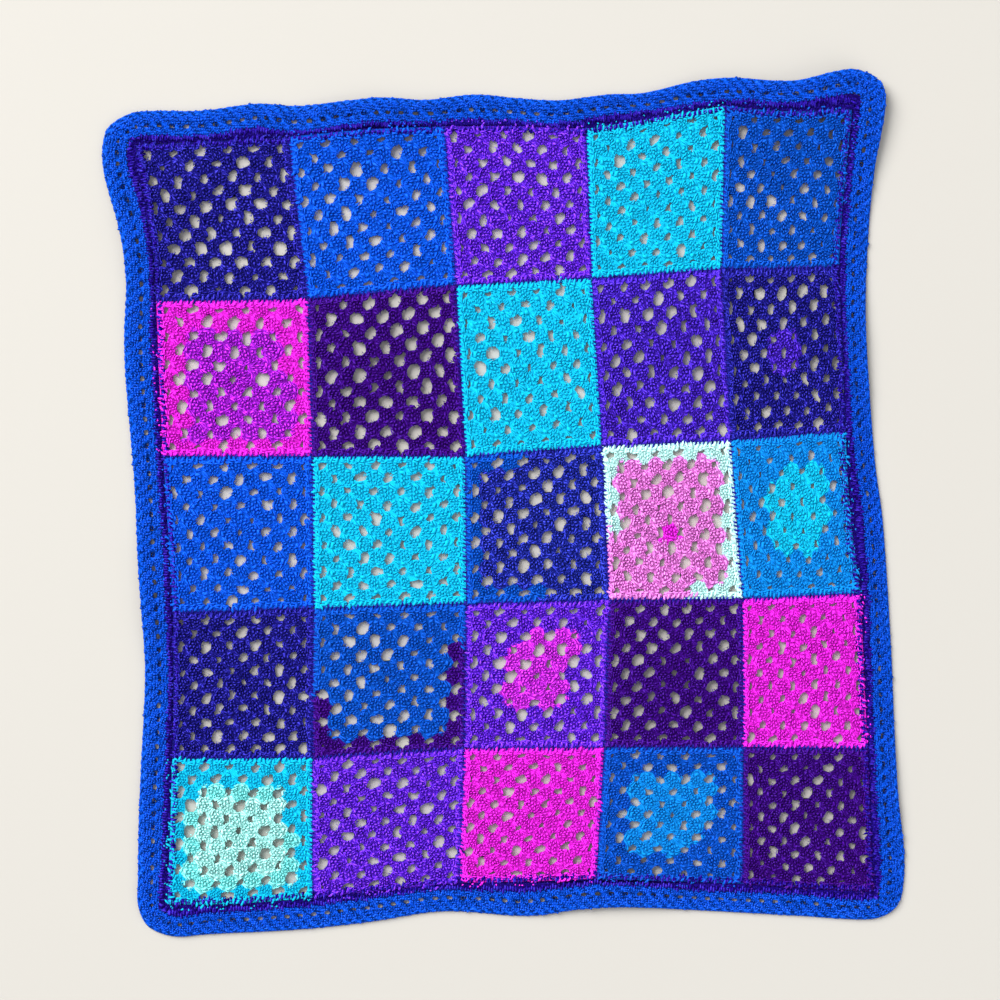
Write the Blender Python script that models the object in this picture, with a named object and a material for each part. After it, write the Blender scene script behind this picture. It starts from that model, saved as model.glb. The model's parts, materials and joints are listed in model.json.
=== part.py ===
"""Granny square blanket, laid flat: 25 crocheted squares in five rows, a narrow joining round
about them, and a wide border. Metres, +Z up, the far edge towards +Y. The origin is under the
middle of the outline, on the surface that the blanket lies on."""

import math

import bmesh
import bpy
from mathutils import Vector

MM = 0.001
GAP = 0.3 * MM                  # clearance between neighbouring pieces
GRID = 5                        # squares in a row, and rows

# Each square: five rounds of clusters, with a lattice of gaps a constant pitch apart
ROUNDS = 5
PITCHES = 2 * ROUNDS + 1        # gap pitches across a square
SIDE_STEPS = 5                  # straight runs along one side of a square
CROWN = 4.6 * MM                # thickness of a square away from its seams
SEAM = 3.2 * MM                 # thickness at its seams
CROWN_REACH = 14 * MM           # how far in from a seam the full thickness starts
HOLE_WIDE = 8.0 * MM            # along the round that a gap lies in
HOLE_TALL = 9.0 * MM            # across that round
HOLE_SIDES = 6
HOLE_JITTER = 0.7 * MM          # how far a gap strays from its lattice place
HOLE_TURN = 0.3                 # how far it is turned, in radians
HOLE_SPREAD = 0.14              # how much the sizes of the gaps vary, as a share

JOIN_THICK = 3.4 * MM           # the joining round
BAND = 22 * MM                  # width of the border where its section is as drawn below
STATION = 18 * MM               # spacing of the border's cross-sections

# The border's cross-section, in mm: how far in from the outer edge, and how high
BORDER_SECTION = (
    # across, height
    (1.2, 0.0),
    (0.0, 1.5),
    (2.2, 4.8),
    (11.0, 4.9),
    (13.4, 3.0),                # the sunken row of small gaps
    (15.8, 4.7),
    (22.0, 3.4),
    (22.0, 0.0),
)

# Corners of the squares, in mm, from the far row of corners to the near one
SEAM_CORNERS = (
    # each (x, y), from left to right
    ((-320, 312), (-187, 319), (-51, 328), (72, 326), (193, 346), (303, 342)),
    ((-302, 176), (-170, 178), (-41, 190), (77, 196), (190, 204), (292, 206)),
    ((-296, 41), (-166, 41), (-33, 41), (86, 50), (198, 55), (298, 63)),
    ((-287, -95), (-165, -91), (-32, -87), (92, -84), (208, -83), (311, -78)),
    ((-288, -222), (-166, -221), (-34, -213), (88, -212), (209, -212), (317, -213)),
    ((-292, -349), (-166, -343), (-38, -330), (81, -326), (208, -331), (322, -338)),
)

# How far the middle of each outer side bows out of line, in mm, square by square
SIDE_BOWS = {
    "far": (0.0, 1.5, 1.5, -0.5, -3.5),
    "near": (2.0, 0.0, 1.0, 0.0, 0.5),
    "left": (-3.5, 0.5, 0.0, 0.0, 0.0),
    "right": (-1.0, 0.0, -2.5, 0.0, 0.0),
}

# The blanket's outer edge, clockwise from the far left corner, and the border's width there, in mm
OUTLINE = (
    # x, y, width
    (-349, 303, 21.0), (-346, 324, 21.5), (-336, 334, 22.0),                    # far left corner
    (-318, 341, 21.0), (-263, 342, 22.5), (-214, 348, 20.5), (-178, 346, 23.0),
    (-138, 350, 21.0), (-105, 353, 21.5), (-68, 351, 20.0), (-25, 356, 22.0),
    (10, 353, 20.5), (49, 351, 20.0), (92, 356, 17.5), (121, 357, 16.5),
    (165, 367, 20.0), (197, 370, 20.0), (251, 367, 18.5), (288, 375, 21.5),     # far edge
    (304, 377, 20.5), (319, 372, 20.5), (329, 364, 21.0), (332, 351, 21.0),
    (331, 338, 21.5), (329, 325, 22.0),                                         # far right corner
    (323, 292, 19.5), (318, 238, 19.0), (315, 169, 18.0), (317, 116, 17.5),
    (324, 31, 17.0), (330, -14, 16.5), (337, -118, 17.5), (343, -249, 19.0),
    (349, -305, 21.0),                                                          # right edge
    (348, -334, 20.5), (343, -350, 19.0), (331, -359, 17.5),                    # near right corner
    (314, -362, 17.0), (260, -359, 19.0), (171, -354, 17.5), (105, -351, 20.0),
    (66, -353, 21.0), (23, -359, 21.5), (-38, -355, 19.5), (-66, -356, 19.5),
    (-115, -364, 20.5), (-181, -371, 20.0), (-260, -375, 18.0),                 # near edge
    (-282, -377, 17.0), (-298, -374, 17.5), (-311, -366, 18.0), (-318, -349, 19.0),
    (-318, -327, 20.0),                                                         # near left corner
    (-317, -266, 21.5), (-312, -162, 21.0), (-312, -131, 21.0), (-318, -49, 22.5),
    (-321, 16, 22.0), (-329, 112, 24.0), (-330, 147, 23.0), (-328, 190, 22.0),
    (-333, 234, 22.5), (-347, 285, 22.0),                                       # left edge
)

# Where the cloth lifts off the surface: centre, reach and height of each low swell, in mm
SWELLS = (
    # x, y, reach, height
    (322, 362, 120, 9.0),
    (215, 372, 90, 4.5),
    (-110, 352, 90, 4.0),
    (330, 130, 90, 4.5),
    (-330, 230, 90, 4.0),
    (-320, -90, 80, 3.5),
    (95, -352, 80, 4.0),
    (346, -250, 70, 3.0),
    (-95, 110, 85, 2.4),
    (140, 120, 80, 2.2),
    (-225, -285, 80, 2.4),
    (150, -160, 85, 2.4),
)

# Steps of the fixed, uneven values that vary the gaps
WOBBLE_STEPS = (12.99, 78.23, 37.72, 93.11, 51.64)
WOBBLE_SCALE = 4375.85

# Colour of each square's yarn, row by row
SQUARE_YARNS = (
    ("navy", "royal", "violet", "cyan", "blue"),
    ("magenta", "plum", "cyan", "iris", "navy"),
    ("royal", "cyan", "navy", "orchid", "azure"),
    ("navy", "blue", "purple", "plum", "magenta"),
    ("mint", "violet", "magenta", "blue", "plum"),
)
YARN_COLOURS = {
    # red, green and blue, linear, from 0 to 1
    "navy": (0.013, 0.007, 0.230),
    "royal": (0.004, 0.075, 0.730),
    "blue": (0.004, 0.062, 0.480),
    "azure": (0.004, 0.190, 0.720),
    "cyan": (0.004, 0.480, 0.850),
    "mint": (0.210, 0.950, 0.680),
    "violet": (0.065, 0.010, 0.600),
    "iris": (0.045, 0.008, 0.520),
    "purple": (0.200, 0.012, 0.640),
    "plum": (0.037, 0.003, 0.190),
    "magenta": (0.780, 0.010, 0.560),
    "orchid": (0.680, 0.080, 0.630),
    "join": (0.024, 0.002, 0.150),
    "border": (0.004, 0.065, 0.660),
}


def wobble(*key):
    """A fixed, uneven value from -1 to 1 for each set of whole numbers."""
    mix = math.sin(sum(k * f for k, f in zip(key, WOBBLE_STEPS))) * WOBBLE_SCALE
    return 2 * (mix - math.floor(mix)) - 1


def smooth_loop(points, spacing):
    """A closed smooth curve through the rows, each (x, y, width), sampled about every spacing."""
    loop = []
    count = len(points)
    for i in range(count):
        before, start, end, after = (Vector(points[(i + k - 1) % count]) for k in range(4))
        length = (end - start).length
        leave = (end - before).normalized() * length
        arrive = (after - start).normalized() * length
        steps = max(1, round(length / spacing))
        for step in range(steps):
            t = step / steps
            loop.append(
                start * (2 * t**3 - 3 * t**2 + 1)
                + leave * (t**3 - 2 * t**2 + t)
                + end * (3 * t**2 - 2 * t**3)
                + arrive * (t**3 - t**2)
            )
    return loop


def inward(loop, i):
    """The vector into a clockwise loop at its point i that moves both runs there in by one."""
    here = loop[i].xy
    ahead = (loop[(i + 1) % len(loop)].xy - here).normalized()
    behind = (here - loop[i - 1].xy).normalized()
    along = (ahead + behind).normalized()
    return Vector((along.y, -along.x)) / along.dot(ahead)


def offset_loop(loop, distance):
    """The clockwise loop moved in by the distance, or out where it is negative."""
    return [point.xy + inward(loop, i) * distance for i, point in enumerate(loop)]


def side_points(start, end, bow):
    """Points from start up to, but not at, end, along a side that bows to its left."""
    across = Vector((start.y - end.y, end.x - start.x)).normalized()
    return [
        start.lerp(end, k / SIDE_STEPS) + across * bow * math.sin(math.pi * k / SIDE_STEPS)
        for k in range(SIDE_STEPS)
    ]


def corner(row, column):
    return Vector(SEAM_CORNERS[row][column]) * MM


def square_sides(row, column):
    """The four sides of a square as (start, end, bow), clockwise from its far left corner."""
    far_left, far_right = corner(row, column), corner(row, column + 1)
    near_left, near_right = corner(row + 1, column), corner(row + 1, column + 1)
    last = GRID - 1
    return (
        (far_left, far_right, SIDE_BOWS["far"][column] * MM if row == 0 else 0.0),
        (far_right, near_right, SIDE_BOWS["right"][row] * MM if column == last else 0.0),
        (near_right, near_left, SIDE_BOWS["near"][column] * MM if row == last else 0.0),
        (near_left, far_left, SIDE_BOWS["left"][row] * MM if column == 0 else 0.0),
    )


def square_loop(row, column):
    return [p for side in square_sides(row, column) for p in side_points(*side)]


def joined_loop():
    """The outer edge of all the squares together, clockwise from the far left corner."""
    last = GRID - 1
    far = [square_sides(0, c)[0] for c in range(GRID)]
    right = [square_sides(r, last)[1] for r in range(GRID)]
    near = [square_sides(last, c)[2] for c in reversed(range(GRID))]
    left = [square_sides(r, 0)[3] for r in reversed(range(GRID))]
    return [p for side in far + right + near + left for p in side_points(*side)]


def in_square(row, column, u, v):
    """The point at u along and v down a square, each from 0 to 1."""
    far = corner(row, column).lerp(corner(row, column + 1), u)
    near = corner(row + 1, column).lerp(corner(row + 1, column + 1), u)
    return far.lerp(near, v)


def large_gaps():
    """Lattice places of the twelve widest gaps, counted in pitches from a square's middle:
    four about its second round and eight about its third."""
    second = [(0, 2), (2, 0), (0, -2), (-2, 0)]
    third = [(i, j) for i in (-3, -1, 1, 3) for j in (-3, -1, 1, 3) if abs(i) != abs(j)]
    return second + third


def gap_loop(row, column, i, j):
    """One gap between the clusters, a little uneven in its place and size."""
    centre = in_square(row, column, 0.5 + i / PITCHES, 0.5 + j / PITCHES)
    centre += Vector((wobble(row, column, i, j, 1), wobble(row, column, i, j, 2))) * HOLE_JITTER
    size = 1 + HOLE_SPREAD * wobble(row, column, i, j, 3)
    upright = abs(j) > abs(i)
    wide = (HOLE_WIDE if upright else HOLE_TALL) * size / 2
    tall = (HOLE_TALL if upright else HOLE_WIDE) * size / 2
    turn = HOLE_TURN * wobble(row, column, i, j, 4)
    angles = [turn + 2 * math.pi * k / HOLE_SIDES for k in range(HOLE_SIDES)]
    return [centre + Vector((wide * math.cos(a), tall * math.sin(a))) for a in angles]


def lift(point):
    """How far the underside is off the surface at a point."""
    height = 0.0
    for x, y, reach, top in SWELLS:
        share = (point - Vector((x, y)) * MM).length / (reach * MM)
        if share < 1:
            height += top * MM * (1 - share**2) ** 2
    return height


def distance_to(loop, point):
    """How far a point is from the nearest run of a closed loop."""
    nearest = []
    for i, start in enumerate(loop):
        run = loop[(i + 1) % len(loop)] - start
        t = max(0.0, min(1.0, (point - start).dot(run) / run.length_squared))
        nearest.append((point - start - run * t).length)
    return min(nearest)


def yarn(name):
    material = bpy.data.materials.new(name + "_yarn")
    material.use_nodes = True
    shader = material.node_tree.nodes["Principled BSDF"]
    shader.inputs["Base Color"].default_value = (*YARN_COLOURS[name], 1)
    shader.inputs["Roughness"].default_value = 0.9
    shader.inputs["Metallic"].default_value = 0.0
    material.diffuse_color = (*YARN_COLOURS[name], 1)
    return material


def add_poly(curve, loop):
    spline = curve.splines.new("POLY")
    spline.points.add(len(loop) - 1)
    for target, source in zip(spline.points, loop):
        target.co = (source[0], source[1], 0, 1)
    spline.use_cyclic_u = True


def mesh_of(curve, collection):
    """The curve as a closed mesh, its caps welded on."""
    guide = bpy.data.objects.new(curve.name, curve)
    collection.objects.link(guide)
    bpy.context.view_layer.update()
    graph = bpy.context.evaluated_depsgraph_get()
    mesh = bpy.data.meshes.new_from_object(guide.evaluated_get(graph))
    bpy.data.objects.remove(guide)
    shape = bmesh.new()
    shape.from_mesh(mesh)
    bmesh.ops.remove_doubles(shape, verts=shape.verts, dist=0.01 * MM)
    bmesh.ops.recalc_face_normals(shape, faces=shape.faces)
    shape.to_mesh(mesh)
    shape.free()
    return mesh


def add_piece(name, mesh, material, origin, collection):
    """A named object whose mesh is moved so that the blanket's own origin is at zero."""
    for vertex in mesh.vertices:
        vertex.co.x -= origin.x
        vertex.co.y -= origin.y
    mesh.materials.clear()
    mesh.materials.append(material)
    mesh.name = name
    piece = bpy.data.objects.new(name, mesh)
    collection.objects.link(piece)
    return piece


def slab(name, loops, thickness, collection):
    """A flat slab of cloth, laid over the swells. The first loop is its edge, the rest are
    gaps right through it, and thickness gives its height at each point."""
    curve = bpy.data.curves.new(name, "CURVE")
    curve.dimensions = "2D"
    curve.fill_mode = "BOTH"
    curve.extrude = CROWN / 2
    for loop in loops:
        add_poly(curve, loop)
    mesh = mesh_of(curve, collection)
    for vertex in mesh.vertices:
        point = vertex.co.xy
        on_top = vertex.co.z > 0
        vertex.co.z = lift(point) + (thickness(point) if on_top else 0.0)
    return mesh


def make_square(row, column, origin, collection):
    edge = offset_loop(square_loop(row, column), GAP / 2)
    gaps = [gap_loop(row, column, i, j) for i, j in large_gaps()]

    def thickness(point):
        share = min(1.0, distance_to(edge, point) / CROWN_REACH)
        return SEAM + (CROWN - SEAM) * math.sin(share * math.pi / 2)

    name = f"square_r{row + 1}c{column + 1}"
    mesh = slab(name, [edge] + gaps, thickness, collection)
    add_piece(name, mesh, yarn(SQUARE_YARNS[row][column]), origin, collection)


def make_joining_round(outline, origin, collection):
    outer = [p.xy + inward(outline, i) * (p.z + GAP) for i, p in enumerate(outline)]
    inner = offset_loop(joined_loop(), -GAP / 2)
    mesh = slab("joining_round", [outer, inner], lambda point: JOIN_THICK, collection)
    add_piece("joining_round", mesh, yarn("join"), origin, collection)


def make_border(outline, origin, collection):
    """The border's cross-section swept round the outline, wider or narrower as it goes."""
    profile = bpy.data.curves.new("border_section", "CURVE")
    profile.dimensions = "2D"
    add_poly(profile, [Vector(place) * MM for place in BORDER_SECTION])
    section = bpy.data.objects.new("border_section", profile)
    section.hide_render = True
    collection.objects.link(section)

    path = bpy.data.curves.new("border", "CURVE")
    path.dimensions = "2D"
    path.bevel_mode = "OBJECT"
    path.bevel_object = section
    add_poly(path, outline)
    for point, place in zip(path.splines[0].points, outline):
        point.radius = place.z / BAND
    mesh = mesh_of(path, collection)
    bpy.data.objects.remove(section)
    for vertex in mesh.vertices:
        vertex.co.z += lift(vertex.co.xy)
    add_piece("border", mesh, yarn("border"), origin, collection)


def middle(loop):
    """The middle of a loop's bounding box."""
    xs, ys = [p.x for p in loop], [p.y for p in loop]
    return Vector(((min(xs) + max(xs)) / 2, (min(ys) + max(ys)) / 2))


def main():
    for old in list(bpy.data.objects):
        bpy.data.objects.remove(old, do_unlink=True)
    collection = bpy.data.collections.new("GrannySquareBlanket")
    bpy.context.scene.collection.children.link(collection)

    outline = smooth_loop([Vector(place) * MM for place in OUTLINE], STATION)
    origin = middle(outline)
    for row in range(GRID):
        for column in range(GRID):
            make_square(row, column, origin, collection)
    make_joining_round(outline, origin, collection)
    make_border(outline, origin, collection)


main()
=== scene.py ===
# Granny square blanket, laid flat: the yarn, stitch by stitch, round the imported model. Metres, +Z up.
import json
import math

import bpy
import numpy as np
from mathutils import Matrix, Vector

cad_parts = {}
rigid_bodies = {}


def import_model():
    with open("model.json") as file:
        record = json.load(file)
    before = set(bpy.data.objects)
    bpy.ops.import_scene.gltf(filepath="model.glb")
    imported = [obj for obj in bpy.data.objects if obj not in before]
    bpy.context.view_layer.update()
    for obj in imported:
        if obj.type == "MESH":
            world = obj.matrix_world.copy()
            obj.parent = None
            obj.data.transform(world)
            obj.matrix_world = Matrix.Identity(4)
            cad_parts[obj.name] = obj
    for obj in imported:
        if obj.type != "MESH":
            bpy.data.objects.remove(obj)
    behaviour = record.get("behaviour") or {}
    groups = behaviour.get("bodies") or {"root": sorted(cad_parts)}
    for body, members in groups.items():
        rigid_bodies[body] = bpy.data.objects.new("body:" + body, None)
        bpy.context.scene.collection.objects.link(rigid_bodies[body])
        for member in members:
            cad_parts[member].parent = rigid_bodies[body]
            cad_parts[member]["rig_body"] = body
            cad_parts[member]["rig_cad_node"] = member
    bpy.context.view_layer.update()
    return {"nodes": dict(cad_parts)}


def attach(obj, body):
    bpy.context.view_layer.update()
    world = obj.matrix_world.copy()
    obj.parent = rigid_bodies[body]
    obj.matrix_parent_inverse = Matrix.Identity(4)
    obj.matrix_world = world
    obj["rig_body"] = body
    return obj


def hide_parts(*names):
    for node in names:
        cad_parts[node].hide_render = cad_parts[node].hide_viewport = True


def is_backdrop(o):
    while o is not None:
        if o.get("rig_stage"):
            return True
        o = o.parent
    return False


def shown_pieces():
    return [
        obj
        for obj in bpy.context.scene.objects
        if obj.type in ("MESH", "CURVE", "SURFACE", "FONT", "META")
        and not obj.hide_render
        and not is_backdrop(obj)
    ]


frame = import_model()
mm = 0.001
seeds = {  # all that is random is drawn from these, so every run gives the same blanket
    "seams": 7, "border": 31, "joining": 57, "post": 60, "single": 80,
    "drift": 100, "gaps": 500, "clusters": 900, "edges": 1300, "fuzz": 1700,
}


def diceFor(use, number=0):
    return np.random.default_rng(seeds[use] + number)


def squareDice(use, row, column):
    return diceFor(use, row * 10 + column)


# The laid-out blanket, in mm. These repeat the tables that the solids were made from.
blanket = {
    "grid": 5,  # squares in a row, and rows
    "station": 18,  # between the points of the outline from which the origin is worked out
    "spacing": 3,  # between those along which the border is laid
    "clear": 0.05,  # the least height of the yarn over the underside
    "corners": (  # of the squares, from the far row to the near one, each (x, y) from left to right
        ((-320, 312), (-187, 319), (-51, 328), (72, 326), (193, 346), (303, 342)),
        ((-302, 176), (-170, 178), (-41, 190), (77, 196), (190, 204), (292, 206)),
        ((-296, 41), (-166, 41), (-33, 41), (86, 50), (198, 55), (298, 63)),
        ((-287, -95), (-165, -91), (-32, -87), (92, -84), (208, -83), (311, -78)),
        ((-288, -222), (-166, -221), (-34, -213), (88, -212), (209, -212), (317, -213)),
        ((-292, -349), (-166, -343), (-38, -330), (81, -326), (208, -331), (322, -338)),
    ),
    "bowPast": 1.05,  # share of a square, from its inner side, past which the bow doesn't grow
    "bows": {  # how far the middle of each outer side bows out, square by square
        "far": (0.0, 1.5, 1.5, -0.5, -3.5),
        "near": (2.0, 0.0, 1.0, 0.0, 0.5),
        "left": (-3.5, 0.5, 0.0, 0.0, 0.0),
        "right": (-1.0, 0.0, -2.5, 0.0, 0.0),
    },
    "outline": (  # the outer edge clockwise from the far left corner: x, y and the border's width there
        (-349, 303, 21.0), (-346, 324, 21.5), (-336, 334, 22.0), (-318, 341, 21.0), (-263, 342, 22.5),
        (-214, 348, 20.5), (-178, 346, 23.0), (-138, 350, 21.0), (-105, 353, 21.5), (-68, 351, 20.0),
        (-25, 356, 22.0), (10, 353, 20.5), (49, 351, 20.0), (92, 356, 17.5), (121, 357, 16.5),
        (165, 367, 20.0), (197, 370, 20.0), (251, 367, 18.5), (288, 375, 21.5), (304, 377, 20.5),
        (319, 372, 20.5), (329, 364, 21.0), (332, 351, 21.0), (331, 338, 21.5), (329, 325, 22.0),
        (323, 292, 19.5), (318, 238, 19.0), (315, 169, 18.0), (317, 116, 17.5), (324, 31, 17.0),
        (330, -14, 16.5), (337, -118, 17.5), (343, -249, 19.0), (349, -305, 21.0), (348, -334, 20.5),
        (343, -350, 19.0), (331, -359, 17.5), (314, -362, 17.0), (260, -359, 19.0), (171, -354, 17.5),
        (105, -351, 20.0), (66, -353, 21.0), (23, -359, 21.5), (-38, -355, 19.5), (-66, -356, 19.5),
        (-115, -364, 20.5), (-181, -371, 20.0), (-260, -375, 18.0), (-282, -377, 17.0), (-298, -374, 17.5),
        (-311, -366, 18.0), (-318, -349, 19.0), (-318, -327, 20.0), (-317, -266, 21.5), (-312, -162, 21.0),
        (-312, -131, 21.0), (-318, -49, 22.5), (-321, 16, 22.0), (-329, 112, 24.0), (-330, 147, 23.0),
        (-328, 190, 22.0), (-333, 234, 22.5), (-347, 285, 22.0),
    ),
    "swells": (  # where the cloth lifts off the surface: x, y, reach and height
        (322, 362, 120, 9.0), (215, 372, 90, 4.5), (-110, 352, 90, 4.0), (330, 130, 90, 4.5),
        (-330, 230, 90, 4.0), (-320, -90, 80, 3.5), (95, -352, 80, 4.0), (346, -250, 70, 3.0),
        (-95, 110, 85, 2.4), (140, 120, 80, 2.2), (-225, -285, 80, 2.4), (150, -160, 85, 2.4),
    ),
}


def unit(rows):
    return rows / np.linalg.norm(rows, axis=-1, keepdims=True)


def smoothLoop(rows, spacing):
    # a closed smooth curve through the rows, sampled about every spacing
    rows = np.array(rows, float) * mm
    count = len(rows)
    runs = []
    for i in range(count):
        before, start, end, after = (rows[(i + k - 1) % count] for k in range(4))
        length = np.linalg.norm(end - start)
        leave = unit(end - before) * length
        arrive = unit(after - start) * length
        steps = max(1, round(length / spacing))
        t = np.arange(steps)[:, None] / steps
        runs.append(start * (2 * t**3 - 3 * t**2 + 1) + leave * (t**3 - 2 * t**2 + t)
                    + end * (3 * t**2 - 2 * t**3) + arrive * (t**3 - t**2))
    return np.vstack(runs)


coarse = smoothLoop(blanket["outline"], blanket["station"] * mm)[:, :2]
shift = (coarse.min(0) + coarse.max(0)) / 2  # the middle of the outline, which is the part's origin


def liftAt(points):
    # how far the underside is off the surface at each point
    height = np.zeros(points.shape[:-1])
    for x, y, reach, top in blanket["swells"]:
        away = np.linalg.norm(points + shift - np.array((x, y)) * mm, axis=-1) / (reach * mm)
        height += top * mm * np.where(away < 1, (1 - away**2) ** 2, 0)
    return height


def onCloth(flat, height):
    # points at a height over the underside, and never under it
    height = np.maximum(height, blanket["clear"] * mm) + liftAt(flat)
    return np.concatenate((flat, height[..., None]), -1)


view = {
    "middle": (-2.9, 3.0),  # what the photo's middle shows, in mm
    "width": 871,  # what the photo's width spans, in mm
    "height": 2400,  # the camera's, in mm
    "sensor": 36,  # mm
}


def addCamera():
    x, y = view["middle"]
    bpy.ops.object.camera_add(location=(x * mm, y * mm, view["height"] * mm))
    camera = bpy.context.object
    camera.data.sensor_width = view["sensor"]
    camera.data.lens = view["sensor"] * view["height"] / view["width"]
    bpy.context.scene.camera = camera


lights = {
    # where each stands, its size in metres, its power in watts and its warmth; all aim at the middle
    "window": {"place": (-4.4, 3.9, 5.4), "size": 5.4, "power": 1250, "colour": (1.0, 0.99, 0.97)},
    "fill": {"place": (2.4, -2.0, 1.6), "size": 2.4, "power": 56, "colour": (0.97, 0.98, 1.0)},
    "overhead": {"place": (0.1, 0.0, 3.0), "size": 2.2, "power": 14, "colour": (1.0, 1.0, 1.0)},
}
sky = {"colour": (0.95, 0.97, 1.0, 1), "strength": 0.40}  # the even light from all round


def addLights():
    for name, light in lights.items():
        turn = (-Vector(light["place"])).to_track_quat("-Z", "Y").to_euler()
        bpy.ops.object.light_add(type="AREA", location=light["place"], rotation=turn)
        lamp = bpy.context.object
        lamp.name = name
        lamp.data.size = light["size"]
        lamp.data.energy = light["power"]
        lamp.data.color = light["colour"]
    world = bpy.data.worlds.new("studio")
    world.use_nodes = True
    background = world.node_tree.nodes["Background"]
    background.inputs["Color"].default_value = sky["colour"]
    background.inputs["Strength"].default_value = sky["strength"]
    bpy.context.scene.world = world
    bpy.context.scene.view_settings.view_transform = "Standard"


def toLinear(hexColour, share=1.0):
    # an sRGB colour such as "#1f1483" as linear red, green and blue, darkened to a share of it
    parts = [int(hexColour[k:k + 2], 16) / 255 for k in (1, 3, 5)]
    return [(p / 12.92 if p <= 0.04045 else ((p + 0.055) / 1.055) ** 2.4) * share for p in parts] + [1.0]


def addNode(tree, kind, settings=None, links=None):
    # settings are a node's own properties or its sockets' values; links go from sockets to its sockets
    node = tree.nodes.new("ShaderNode" + kind)
    for key, value in (settings or {}).items():
        if isinstance(key, str) and hasattr(node, key):
            setattr(node, key, value)
        else:
            node.inputs[key].default_value = value
    for key, source in (links or {}).items():
        tree.links.new(source, node.inputs[key])
    return node


backdrop = {"across": 12, "colour": "#b4b1ab", "roughness": 0.9}  # metres across


def addFloor():
    bpy.ops.mesh.primitive_plane_add(size=backdrop["across"])
    floor = bpy.context.object
    floor.name = "floor"
    paint = bpy.data.materials.new("pale_floor")
    paint.use_nodes = True
    shader = paint.node_tree.nodes["Principled BSDF"]
    shader.inputs["Base Color"].default_value = toLinear(backdrop["colour"])
    shader.inputs["Roughness"].default_value = backdrop["roughness"]
    floor.data.materials.append(paint)
    floor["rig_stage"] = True


# Each yarn's colour as it shows on the strand, how strongly its colour varies in blotches with painted
# shade in the grooves and a painted highlight at the tips, and its slot in the record
yarns = {
    "navy": ("#1f1b97", 3.9, "navy_yarn"),
    "ink": ("#222fae", 4.3, "navy_yarn"),
    "royal": ("#075be2", 1.4, "royal_yarn"),
    "blue": ("#0657ca", 1.3, "blue_yarn"),
    "azure": ("#0b8bdf", 0.5, "azure_yarn"),
    "cyan": ("#10bbe0", 0, "cyan_yarn"),
    "turquoise": ("#8bfffe", 2.2, "mint_yarn"),
    "mint": ("#b5fffa", 1.8, "mint_yarn"),
    "ice": ("#c8f8f5", 0.8, "mint_yarn"),
    "violet": ("#6b26f5", 4.4, "violet_yarn"),
    "iris": ("#4c24d1", 3.7, "iris_yarn"),
    "purple": ("#b822ec", 3.1, "purple_yarn"),
    "fuchsia": ("#e432ff", 3.1, "purple_yarn"),
    "plum": ("#3f0387", 1.9, "plum_yarn"),
    "magenta": ("#f427ea", 2.0, "magenta_yarn"),
    "orchid": ("#f888ed", 2.4, "orchid_yarn"),
    "join": ("#210291", 3.8, "join_yarn"),
    "border": ("#0151d3", 2.9, "border_yarn"),
}

fibre = {
    "clump": 1.5,  # mm across a tuft of fibres, coarser than the real 0.5 so that it shows
    "detail": (3.0, 0.65),  # how many times finer tufts are laid on them, and how strong those are
    "tufts": (1.5, -0.25),  # how strong they are, and what centres them again
    "plyPitch": 3.4,  # mm along the yarn for one turn of its plies
    "plies": 2,
    "ply": 0.28,  # how strong they are
    "groove": 0.24,  # mm that the ply groove is deep
    "bump": 0.9,
    "tone": 0.16,  # how much a stitch's own tone counts
    "levels": (0.10, 0.56, 0.98),  # at which the painted shade of the grooves, the yarn and the painted highlight of the tips have their colours
    "dark": 0.57,  # share of the colour in the grooves as painted shade, and at the tips as painted highlight, when the yarn's mottling and shading is 1
    "pale": 1.2,
    "tipGlint": 0.01,  # white added at the tips as painted highlight, when the yarn's mottling and shading is 1
    "surface": {
        "Roughness": 0.85,
        "Specular IOR Level": 0.05,
        "Sheen Weight": 0.04,
        "Sheen Roughness": 0.5,
    },
    "sheenTint": (0.1, 0.9),  # white, and the share of the yarn's own colour
}


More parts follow.
